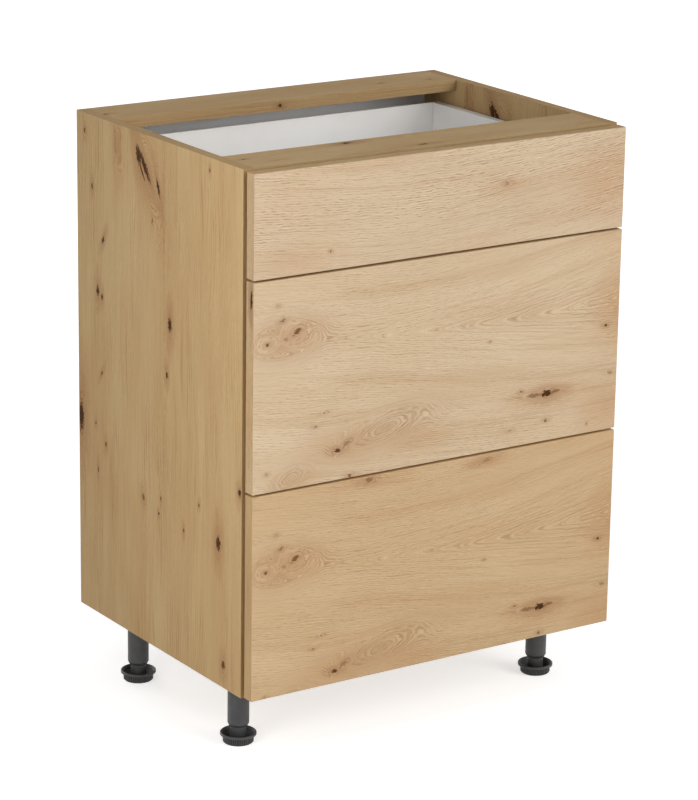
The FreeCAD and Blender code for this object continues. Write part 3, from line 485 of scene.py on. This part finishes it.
# Painted shade: the ends are tinted darker than the faces, so that ends facing up, such as the side
# panels' tops, look less lit.
END_SHADE_TINT = srgb(234, 227, 213)  # the tint of every board's ends
TALL_FRONT_BAND = srgb(255, 248, 228)
CARCASS_DECOR = Decor(
    srgb(197, 169, 124), srgb(186, 153, 108), srgb(146, 104, 62),
    lines=0.42, dashes=0.12, clouds=0.0, band=srgb(228, 217, 206))
RAIL_DECOR = CARCASS_DECOR._replace(band=srgb(226, 226, 226))
TOP_DECOR = Decor(
    srgb(210, 188, 159), srgb(203, 178, 147), srgb(147, 114, 84),
    lines=0.20, dashes=0.36, clouds=0.3, band=srgb(236, 224, 196))
MIDDLE_DECOR = Decor(
    srgb(213, 191, 161), srgb(204, 178, 144), srgb(154, 119, 83),
    lines=0.24, dashes=0.24, clouds=0.45, band=TALL_FRONT_BAND)
BOTTOM_DECOR = Decor(
    srgb(207, 180, 142), srgb(197, 166, 126), srgb(148, 112, 75),
    lines=0.24, dashes=0.20, clouds=0.45, band=TALL_FRONT_BAND)


class Course(NamedTuple):
    """How growth lines run that aren't straight: two functions, for one point and in nodes."""
    level: object
    growth: object


# The top front's growth lines sag towards its middle, in metres.
SAG_MIDDLE, SAG_BEND = -0.03, 0.22
# The tall fronts' growth lines fold about a bent axis and meet in nested tips, in metres.
FOLD_START, FOLD_HEIGHT, FOLD_BEND, FOLD_ROUND = 0.10, 0.572, 0.175, 0.003
FOLD_FROM, FOLD_TO, FOLD_OPENING = -0.14, 0.40, 0.060
FOLD_NEAR, FOLD_FAR, FOLD_FADE = 0.06, 0.16, 0.75
# Where the fold's lines are drawn: nearer its axis than this, and how strongly along the grain.
DRAWN_REACH, DRAWN_ALONG = 0.070, (-0.08, 0.04, 0.0, 0.34)


def smooth(value, low, high):
    """0 at low and 1 at high, easing in and out."""
    share = min(max((value - low) / (high - low), 0.0), 1.0)
    return share * share * (3.0 - 2.0 * share)


def sagging_level(along, across):
    """The growth level at one point, as sagging_growth gives it."""
    return across - SAG_BEND * (along - SAG_MIDDLE) ** 2


def sagging_growth(tree, along, across):
    """The growth level of lines that sag, and how strongly they are drawn."""
    from_middle = tree.subtract(along, SAG_MIDDLE)
    sag = tree.multiply(tree.multiply(from_middle, from_middle), SAG_BEND)
    return tree.subtract(across, sag), 0.0


def folded_level(along, across):
    """The growth level at one point, as folded_growth gives it."""
    axis = FOLD_HEIGHT + FOLD_BEND * (along - FOLD_START) ** 2
    folded = math.hypot(across - axis, FOLD_ROUND)
    fading = 1.0 - FOLD_FADE * smooth(folded, FOLD_NEAR, FOLD_FAR)
    return folded - FOLD_OPENING * smooth(along, FOLD_FROM, FOLD_TO) * fading


def folded_growth(tree, along, across):
    """The growth level of the fold, and how strongly its lines are drawn."""
    from_start = tree.subtract(along, FOLD_START)
    bend = tree.multiply(tree.multiply(from_start, from_start), FOLD_BEND)
    side = tree.subtract(tree.subtract(across, FOLD_HEIGHT), bend)
    folded = tree.math("SQRT", tree.multiply_add(side, side, FOLD_ROUND ** 2))
    fading = tree.span(folded, FOLD_NEAR, FOLD_FAR, 1.0, 1.0 - FOLD_FADE)
    opening = tree.multiply(tree.span(along, FOLD_FROM, FOLD_TO, 0.0, FOLD_OPENING), fading)
    drawn = tree.multiply(tree.span(folded, DRAWN_REACH, 0.0), tree.span(along, *DRAWN_ALONG))
    return tree.subtract(folded, opening), drawn


SAGGING = Course(sagging_level, sagging_growth)
FOLDED = Course(folded_level, folded_growth)

# ---------------------------------------------------------------- knotty oak: boards

FACING = (0.68, 0.72)  # a normal's part along an axis that makes its surface an end or edge
# Where the decor of edges and ends is taken, in grain coordinates. The two ends are END_APART
# to either side of END_ALONG.
EDGE_ALONG, EDGE_THROUGH = 0.37, 2.0
END_ALONG, END_APART, END_THROUGH = 1.11, 0.5, 4.0
# The wobble frays the outlines of knots, by up to this many knot radii.
WOBBLE_SCALES, WOBBLE = (210.0, 480.0, 210.0), 1.3
LAMINATE = (0.6 * MM, 0.8 * MM)  # under it, deeper than these, holes show the chipboard
CHIPS_PER_METRE = 900.0
CHIP_DARK, CHIP_PALE = srgb(150, 120, 84), srgb(196, 168, 128)
CHIP_ROUGHNESS = 0.9
OAK_RELIEF = 0.12 * MM
OAK_SHINE = 0.03


def stained(tree, spot, stains):
    """How strongly a place lies in one of the soft warm patches."""
    total = 0.0
    for along, across, length, width, strength in stains:
        centre = (along * MM, across * MM, 0.0)
        inside = tree.local(spot, centre, (length * MM, width * MM, FLAT))
        spread = tree.span(tree.length(inside), STAIN_FADES, 0.0, 0.0, strength)
        total = tree.math("MAXIMUM", spread, total)
    return total


def knotted(tree, spot, growth, knots, course):
    """The place and marks behind a row of knots."""
    marks = tree.combine(growth, 0.0, 0.0)
    ragged = tree.noise(tree.scaled(spot, WOBBLE_SCALES), detail=3.0, roughness=0.65)
    wobble = tree.multiply_add(ragged, 2 * WOBBLE, -WOBBLE)
    for along, across, radius, length, turn, dark in knots:
        centre = (along * MM, across * MM, 0.0)
        inputs = {
            "Place": spot, "Marks": marks, "Wobble": wobble, "Centre": centre, "Dark": dark,
            "Turn": (0.0, 0.0, math.radians(turn)), "Radius": radius * MM,
            "Size": (radius * length * MM, radius * MM, FLAT),
            "Level": course.level(*centre[:2]) if course else centre[1],
        }
        spot, marks = tree.group(KNOT, inputs)
    return spot, marks


def chipboard(tree, node, place):
    """How much a place lies under a board's laminate, and the colour of the chips there."""
    low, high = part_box(node)
    middle, half = (low + high) / 2, (high - low) / 2
    from_middle = tree.vector_math("ABSOLUTE", tree.vector_math("SUBTRACT", place, middle))
    inside = tree.separate(tree.vector_math("SUBTRACT", half, from_middle))
    deep = tree.math("MINIMUM", tree.math("MINIMUM", inside[0], inside[1]), inside[2])
    core = tree.span(deep, *LAMINATE)
    return core, tree.mix(tree.cells(place, CHIPS_PER_METRE), CHIP_DARK, CHIP_PALE)


def oak_board(node, grain, thickness, decor, knots, stains=(), shift=0.0, lower=0.0, course=None):
    """The decor on one board, with its banded edges and the chipboard core in its holes.

    grain and thickness are axes. shift moves the decor through the board, so that boards with
    equal knots differ in their fine grain; lower moves it down. course is how the growth
    lines run on the two faces, where they aren't straight.
    """
    material, tree, shader = new_material(f"{node}_oak")
    across = 3 - grain - thickness
    coordinates = tree.node("ShaderNodeTexCoord").outputs
    place = tree.separate(coordinates["Object"])
    normal = tree.separate(coordinates["Normal"])
    on_end = tree.span(tree.math("ABSOLUTE", normal[grain]), *FACING)
    on_edge = tree.span(tree.math("ABSOLUTE", normal[across]), *FACING)
    level = tree.add(place[thickness], shift)
    side = tree.add(place[across], lower)
    face = tree.combine(place[grain], side, level)
    edge = tree.combine(tree.add(place[grain], EDGE_ALONG), level, shift + EDGE_THROUGH)
    end_start = tree.multiply_add(normal[grain], END_APART, END_ALONG)
    end = tree.combine(tree.add(place[across], end_start), level, shift + END_THROUGH)
    spot = tree.mix(on_edge, face, edge, "VECTOR")
    spot = tree.mix(on_end, spot, end, "VECTOR")

    start = tree.separate(spot)[1]
    drawn = 0.0
    if course:
        on_face = tree.subtract(1.0, tree.math("MAXIMUM", on_edge, on_end))
        curved, drawn = course.growth(tree, place[grain], side)
        start = tree.multiply_add(on_face, tree.subtract(curved, start), start)
        drawn = tree.multiply(drawn, on_face)
    growth = tree.group(GROWTH, {"Place": spot, "Start": start})[0]
    spot, marks = knotted(tree, spot, growth, knots, course)
    inputs = {
        "Place": spot, "Marks": marks, "Pale": decor.pale, "Tan": decor.tan, "Dark": decor.dark,
        "Lines": decor.lines, "Dashes": decor.dashes, "Clouds": decor.clouds,
        "Stain": stained(tree, spot, stains), "Drawn": drawn,
    }
    oak = tree.group(OAK, inputs)

    core, chip = chipboard(tree, node, coordinates["Object"])
    colour = tree.mix(on_edge, oak["Colour"], decor.band, blend="MULTIPLY")
    # painted shade: every end is darkened, so that ends facing up look less lit
    colour = tree.mix(on_end, colour, END_SHADE_TINT, blend="MULTIPLY")
    colour = tree.mix(core, colour, chip)
    roughness = tree.math("MAXIMUM", oak["Roughness"], tree.multiply(core, CHIP_ROUGHNESS))
    finish_shader(tree, shader, colour, roughness, oak["Height"], OAK_RELIEF)
    shader.inputs["Specular IOR Level"].default_value = OAK_SHINE
    dress(node, material)


oak_board("left_side_panel", Z, X, CARCASS_DECOR, SIDE_KNOTS, SIDE_STAINS)
oak_board("right_side_panel", Z, X, CARCASS_DECOR, SIDE_KNOTS, SIDE_STAINS, shift=0.9)
oak_board("front_top_rail", X, Z, RAIL_DECOR, FRONT_RAIL_KNOTS, shift=1.7)
oak_board("rear_top_rail", X, Z, RAIL_DECOR, REAR_RAIL_KNOTS, REAR_RAIL_STAINS, shift=2.3)
oak_board("bottom_panel", X, Z, CARCASS_DECOR, BOTTOM_KNOTS, shift=3.1)
oak_board(
    "top_drawer_front", X, Y, TOP_DECOR, TOP_FRONT_KNOTS, TOP_FRONT_STAINS,
    shift=4.2, course=SAGGING)
oak_board(
    "middle_drawer_front", X, Y, MIDDLE_DECOR, TALL_FRONT_KNOTS, TALL_FRONT_STAINS,
    shift=5.0, course=FOLDED)
oak_board(
    "bottom_drawer_front", X, Y, BOTTOM_DECOR, TALL_FRONT_KNOTS, TALL_FRONT_STAINS,
    shift=5.0, lower=DECOR_STEP, course=FOLDED)

# ---------------------------------------------------------------- plain finishes

# Spans of a noise: what it has to pass for a mark to start to show, and to show in full.
MOST = (0.3, 0.7)  # most of a noise's values lie between these
COAT_CLOUDS = (0.35, 0.7)
COAT_SPECKS = (0.62, 0.8)
METAL_MARKS = (0.4, 0.75)
FIBRE_MARKS = (0.5, 0.75)
BOARD_PATCHES = (0.3, 0.75)
PLASTIC_CLOUDS = (0.3, 0.75)
PORE_MARKS = (0.4, 0.7)

# How far these marks take the shade's colour.
SPECK_STRENGTH, FIBRE_STRENGTH, PATCH_STRENGTH, CLOUD_STRENGTH = 0.3, 0.5, 0.35, 0.4
FIBRE_LIE = (1.0, 1.0, 0.35)  # the fibres are drawn out upwards
PORE_SCALES = (60.0, 900.0, 900.0)  # per metre: the pores lie along the pin
MARKS_TO_CRYSTALS = 0.2  # the handling marks' scale, against the crystals'
COAT_SPREAD = 0.06  # a coat's roughness varies by this much either way
CRYSTAL_ROUGHNESS = 0.16  # how much rougher metal is on its roughest crystals
COAT_RELIEF, METAL_RELIEF, FIBRE_RELIEF = 0.06 * MM, 0.03 * MM, 0.05 * MM


def start_finish(name):
    """A new material with its object coordinates."""
    material, tree, shader = new_material(name)
    return material, tree, shader, tree.node("ShaderNodeTexCoord").outputs["Object"]


def painted_steel(name, colour, shade, scale, roughness):
    """Powder-coated sheet or moulded nylon: an even skin with orange peel and faint clouds."""
    material, tree, shader, place = start_finish(name)
    clouds = tree.noise(place, scale=9.0, detail=3.0, roughness=0.6)
    peel = tree.noise(place, scale)
    specks = tree.span(peel, *COAT_SPECKS, to_high=SPECK_STRENGTH)
    tinted = tree.mix(tree.span(clouds, *COAT_CLOUDS), colour, shade)
    tinted = tree.mix(specks, tinted, shade)
    rough = tree.span(peel, *MOST, roughness - COAT_SPREAD, roughness + COAT_SPREAD)
    finish_shader(tree, shader, tinted, rough, peel, COAT_RELIEF)
    return material


def bare_metal(name, colour, shade, scale, roughness):
    """Plated or cast metal: crystals and faint handling marks."""
    material, tree, shader, place = start_finish(name)
    crystal = tree.cells(place, scale)
    handling = tree.noise(place, scale * MARKS_TO_CRYSTALS, detail=4.0, roughness=0.7)
    marks = tree.span(handling, *METAL_MARKS)
    tinted = tree.mix(tree.multiply(marks, crystal), colour, shade)
    rough = tree.multiply_add(crystal, CRYSTAL_ROUGHNESS, roughness)
    finish_shader(tree, shader, tinted, rough, marks, METAL_RELIEF)
    shader.inputs["Metallic"].default_value = 1.0
    return material


def pressed_fibre(name, colour, shade, roughness):
    """Painted hardboard or melamine board: matted fibres under a thin coat."""
    material, tree, shader, place = start_finish(name)
    mat = tree.noise(tree.scaled(place, FIBRE_LIE), scale=900.0, detail=4.0, roughness=0.7)
    patches = tree.noise(place, scale=7.0, detail=3.0, roughness=0.6)
    fibres = tree.span(mat, *FIBRE_MARKS, to_high=FIBRE_STRENGTH)
    marks = tree.multiply_add(tree.span(patches, *BOARD_PATCHES), PATCH_STRENGTH, fibres)
    tinted = tree.mix(marks, colour, shade)
    rough = tree.span(mat, *MOST, roughness - COAT_SPREAD, roughness + COAT_SPREAD)
    finish_shader(tree, shader, tinted, rough, mat, FIBRE_RELIEF)
    return material


def turned_beech():
    """Dowel wood with pores along the pin."""
    material, tree, shader, place = start_finish("beech")
    pores = tree.noise(tree.scaled(place, PORE_SCALES), detail=3.0, roughness=0.6)
    tinted = tree.mix(tree.span(pores, *PORE_MARKS), srgb(222, 190, 148), srgb(190, 150, 104))
    rough = tree.span(pores, *MOST, to_low=0.6, to_high=0.75)
    finish_shader(tree, shader, tinted, rough, pores, FIBRE_RELIEF)
    return material


def middle_of(node):
    """The middle of a node's box."""
    low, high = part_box(node)
    return (low + high) / 2


# The ribs' crests stand this far from each foot's axis, and the hollows between them are
# RIB_DEPTH deep. A painted shade, standing in for the shadow down in the grooves, lies
# between these shares of it, in from the crests.
SKIRT_RADIUS, RIB_DEPTH = 21.3 * MM, 1.0 * MM
GROOVE_SHADE_OUTER, GROOVE_SHADE_INNER = 0.25, 1.2


def ribbed_plastic(name, colour, groove_shade):
    """The legs' moulded plastic, with a painted shade down between the ribs of each foot's skirt.
    """
    material, tree, shader, place = start_finish(name)
    front, rear = middle_of("front_left_leg"), middle_of("rear_left_leg")
    x, y, _ = tree.separate(place)
    from_axis = tree.subtract(tree.math("ABSOLUTE", x), abs(front.x))
    behind = tree.math("GREATER_THAN", y, (front.y + rear.y) / 2)
    axis_y = tree.span(behind, 0.0, 1.0, front.y, rear.y, smooth=False)
    radius = tree.length(tree.combine(from_axis, tree.subtract(y, axis_y)))
    # painted shade: the ring in each skirt's grooves gets a dark colour that stands in for their
    # shadow
    inside = tree.math("LESS_THAN", radius, SKIRT_RADIUS - RIB_DEPTH * GROOVE_SHADE_OUTER)
    outside = tree.math("GREATER_THAN", radius, SKIRT_RADIUS - RIB_DEPTH * GROOVE_SHADE_INNER)
    groove_shade_mask = tree.multiply(inside, outside)
    grain = tree.noise(place, scale=1700.0)
    cloudy = tree.noise(place, scale=60.0, detail=3.0, roughness=0.6)
    clouds = tree.span(cloudy, *PLASTIC_CLOUDS, to_high=CLOUD_STRENGTH)
    tinted = tree.mix(tree.math("MAXIMUM", clouds, groove_shade_mask), colour, groove_shade)
    rough = tree.span(grain, *MOST, to_low=0.40, to_high=0.52)
    finish_shader(tree, shader, tinted, rough, grain, COAT_RELIEF)
    return material


FINISHES = {
    "white_steel": painted_steel(
        "powder_white", srgb(250, 250, 249), srgb(243, 243, 242), scale=1400.0, roughness=0.42),
    "roller_plastic": painted_steel(
        "nylon_grey", srgb(206, 206, 200), srgb(190, 190, 184), scale=900.0, roughness=0.36),
    "leg_plastic": ribbed_plastic("moulded_grey", srgb(66, 66, 67), srgb(24, 24, 25)),
    "plated_steel": bare_metal(
        "zinc_plated", srgb(205, 207, 208), srgb(160, 163, 166), scale=1500.0, roughness=0.28),
    "cast_zinc": bare_metal(
        "cast_zinc", srgb(168, 170, 172), srgb(124, 126, 130), scale=1100.0, roughness=0.42),
    "grey_fibreboard": pressed_fibre(
        "hardboard_grey", srgb(245, 247, 250), srgb(232, 234, 238), roughness=0.66),
    "white_board": pressed_fibre(
        "melamine_white", srgb(238, 238, 236), srgb(228, 228, 226), roughness=0.46),
    "dowel_wood": turned_beech(),
}
for part in frame["record"]["subparts"]:
    if part["material_slot"] in FINISHES:
        dress(part["node"], FINISHES[part["material_slot"]])

# ---------------------------------------------------------------- edges

EDGE_RADIUS = 0.3 * MM
EDGE_SEGMENTS = 2
SHARP_ANGLE = 32  # degrees between two faces from which their edge is rounded
FLAT_ANGLE = 0.5  # degrees up to which two faces are first joined into one
WELD_DISTANCE = 0.01 * MM


def soften(node):
    """Rounds the sharp edges of a CAD node."""
    piece = NODES[node]
    weld = piece.modifiers.new("weld", "WELD")
    weld.merge_threshold = WELD_DISTANCE
    flat = piece.modifiers.new("flat", "DECIMATE")
    flat.decimate_type = "DISSOLVE"
    flat.angle_limit = math.radians(FLAT_ANGLE)
    bevel = piece.modifiers.new("round", "BEVEL")
    bevel.width = EDGE_RADIUS
    bevel.segments = EDGE_SEGMENTS
    bevel.limit_method = "ANGLE"
    bevel.angle_limit = math.radians(SHARP_ANGLE)
    normals = piece.modifiers.new("normals", "WEIGHTED_NORMAL")
    normals.keep_sharp = False


for name in NODES:
    if name.endswith(("panel", "rail", "drawer_front")) and name != "back_panel":
        soften(name)

# ---------------------------------------------------------------- studio

WHITE = (1.0, 1.0, 1.0, 1.0)
SENSOR_WIDTH = 36.0  # mm
CLIP_END = 100.0  # metres
# How much light the world gives from the horizon and below, and from straight above.
WORLD_SIDE, WORLD_TOP = 0.4704, 0.252
FLOOR_SIZE = 40.0  # metres
FLOOR_COLOUR, FLOOR_ROUGHNESS = srgb(226, 226, 226), 0.9
# The floor's own glow, as a span: metres from the middle, and the strength there.
FLOOR_GLOW = (0.8, 4.0, 0.60, 0.85)


def make_camera(place, yaw, pitch, roll, lens):
    """The scene's camera, with its angles in degrees and its lens in mm.

    Yaw turns it from the y axis towards x, pitch tips it down, roll lifts its right side.
    """
    yaw, pitch, roll = math.radians(yaw), math.radians(pitch), math.radians(roll)
    ahead = math.cos(pitch)
    forward = Vector((math.sin(yaw) * ahead, math.cos(yaw) * ahead, -math.sin(pitch)))
    right = Vector((math.cos(yaw), -math.sin(yaw), 0.0))
    up = right.cross(forward)
    rolled_right = right * math.cos(roll) + up * math.sin(roll)
    rolled_up = rolled_right.cross(forward)
    axes = Matrix((rolled_right, rolled_up, -forward)).transposed()
    data = bpy.data.cameras.new("camera")
    data.lens = lens
    data.sensor_width = SENSOR_WIDTH
    data.clip_end = CLIP_END
    camera = bpy.data.objects.new("camera", data)
    camera.matrix_world = Matrix.Translation(place) @ axes.to_4x4()
    bpy.context.scene.collection.objects.link(camera)
    bpy.context.scene.camera = camera


def make_lamp(name, place, target, size, power):
    """A rectangular softbox that faces its target, with its power in watts."""
    data = bpy.data.lights.new(name, "AREA")
    data.shape = "RECTANGLE"
    data.size, data.size_y = size
    data.energy = power
    lamp = bpy.data.objects.new(name, data)
    bpy.context.scene.collection.objects.link(lamp)
    lamp.location = place
    aim = Vector(target) - Vector(place)
    lamp.rotation_euler = aim.to_track_quat("-Z", "Y").to_euler()


def seen(tree):
    """1 for what is looked at, straight, in a reflection or through glass, and 0 for light."""
    path = tree.node("ShaderNodeLightPath").outputs
    direct = tree.math("MAXIMUM", path["Is Camera Ray"], path["Is Glossy Ray"])
    return tree.math("MAXIMUM", direct, path["Is Transmission Ray"])


def make_world():
    """A white background that lights the object at a plain level, less from above."""
    world = bpy.data.worlds.new("studio")
    world.use_nodes = True
    world.node_tree.nodes.clear()
    tree = Tree(world.node_tree)
    upward = tree.separate(tree.node("ShaderNodeTexCoord").outputs["Generated"])[2]
    light = tree.span(upward, 0.0, 1.0, WORLD_SIDE, WORLD_TOP, smooth=False)
    strength = tree.mix(seen(tree), light, 1.0, "FLOAT")
    background = tree.call("ShaderNodeBackground", {"Color": WHITE, "Strength": strength})
    output = tree.node("ShaderNodeOutputWorld")
    tree.feed(output.inputs[0], background)
    bpy.context.scene.world = world


def make_floor():
    """A white floor that glows only for what looks at it, so that it keeps the shadow."""
    mesh = bpy.data.meshes.new("floor")
    half = FLOOR_SIZE / 2
    corners = [(-half, -half, 0.0), (half, -half, 0.0), (half, half, 0.0), (-half, half, 0.0)]
    mesh.from_pydata(corners, [], [(0, 1, 2, 3)])
    floor = bpy.data.objects.new("floor", mesh)
    bpy.context.scene.collection.objects.link(floor)
    material, tree, shader = new_material("floor_white")
    away = tree.length(tree.node("ShaderNodeTexCoord").outputs["Object"])
    glow = tree.multiply(seen(tree), tree.span(away, *FLOOR_GLOW))
    tree.feed(shader.inputs["Emission Strength"], glow)
    shader.inputs["Emission Color"].default_value = WHITE
    shader.inputs["Base Color"].default_value = FLOOR_COLOUR
    shader.inputs["Roughness"].default_value = FLOOR_ROUGHNESS
    mesh.materials.append(material)


make_camera((-2.433, -3.651, 1.719), yaw=33.74, pitch=16.54, roll=0.88, lens=146.7)
make_world()
make_floor()
make_lamp(
    "left_softbox", place=(-1.0, -0.48, 0.72), target=(-0.3, -0.15, 0.45), size=(0.4, 1.3),
    power=5.1)
make_lamp(
    "front_softbox", place=(1.8, -3.25, 1.95), target=(0.0, 0.0, 0.5), size=(2.2, 2.4),
    power=90)
make_lamp(
    "rear_softbox", place=(-0.4, 3.5, 1.3), target=(0.0, 0.0, 0.5), size=(2.2, 2.0),
    power=34)
bpy.context.scene.view_settings.view_transform = "Standard"
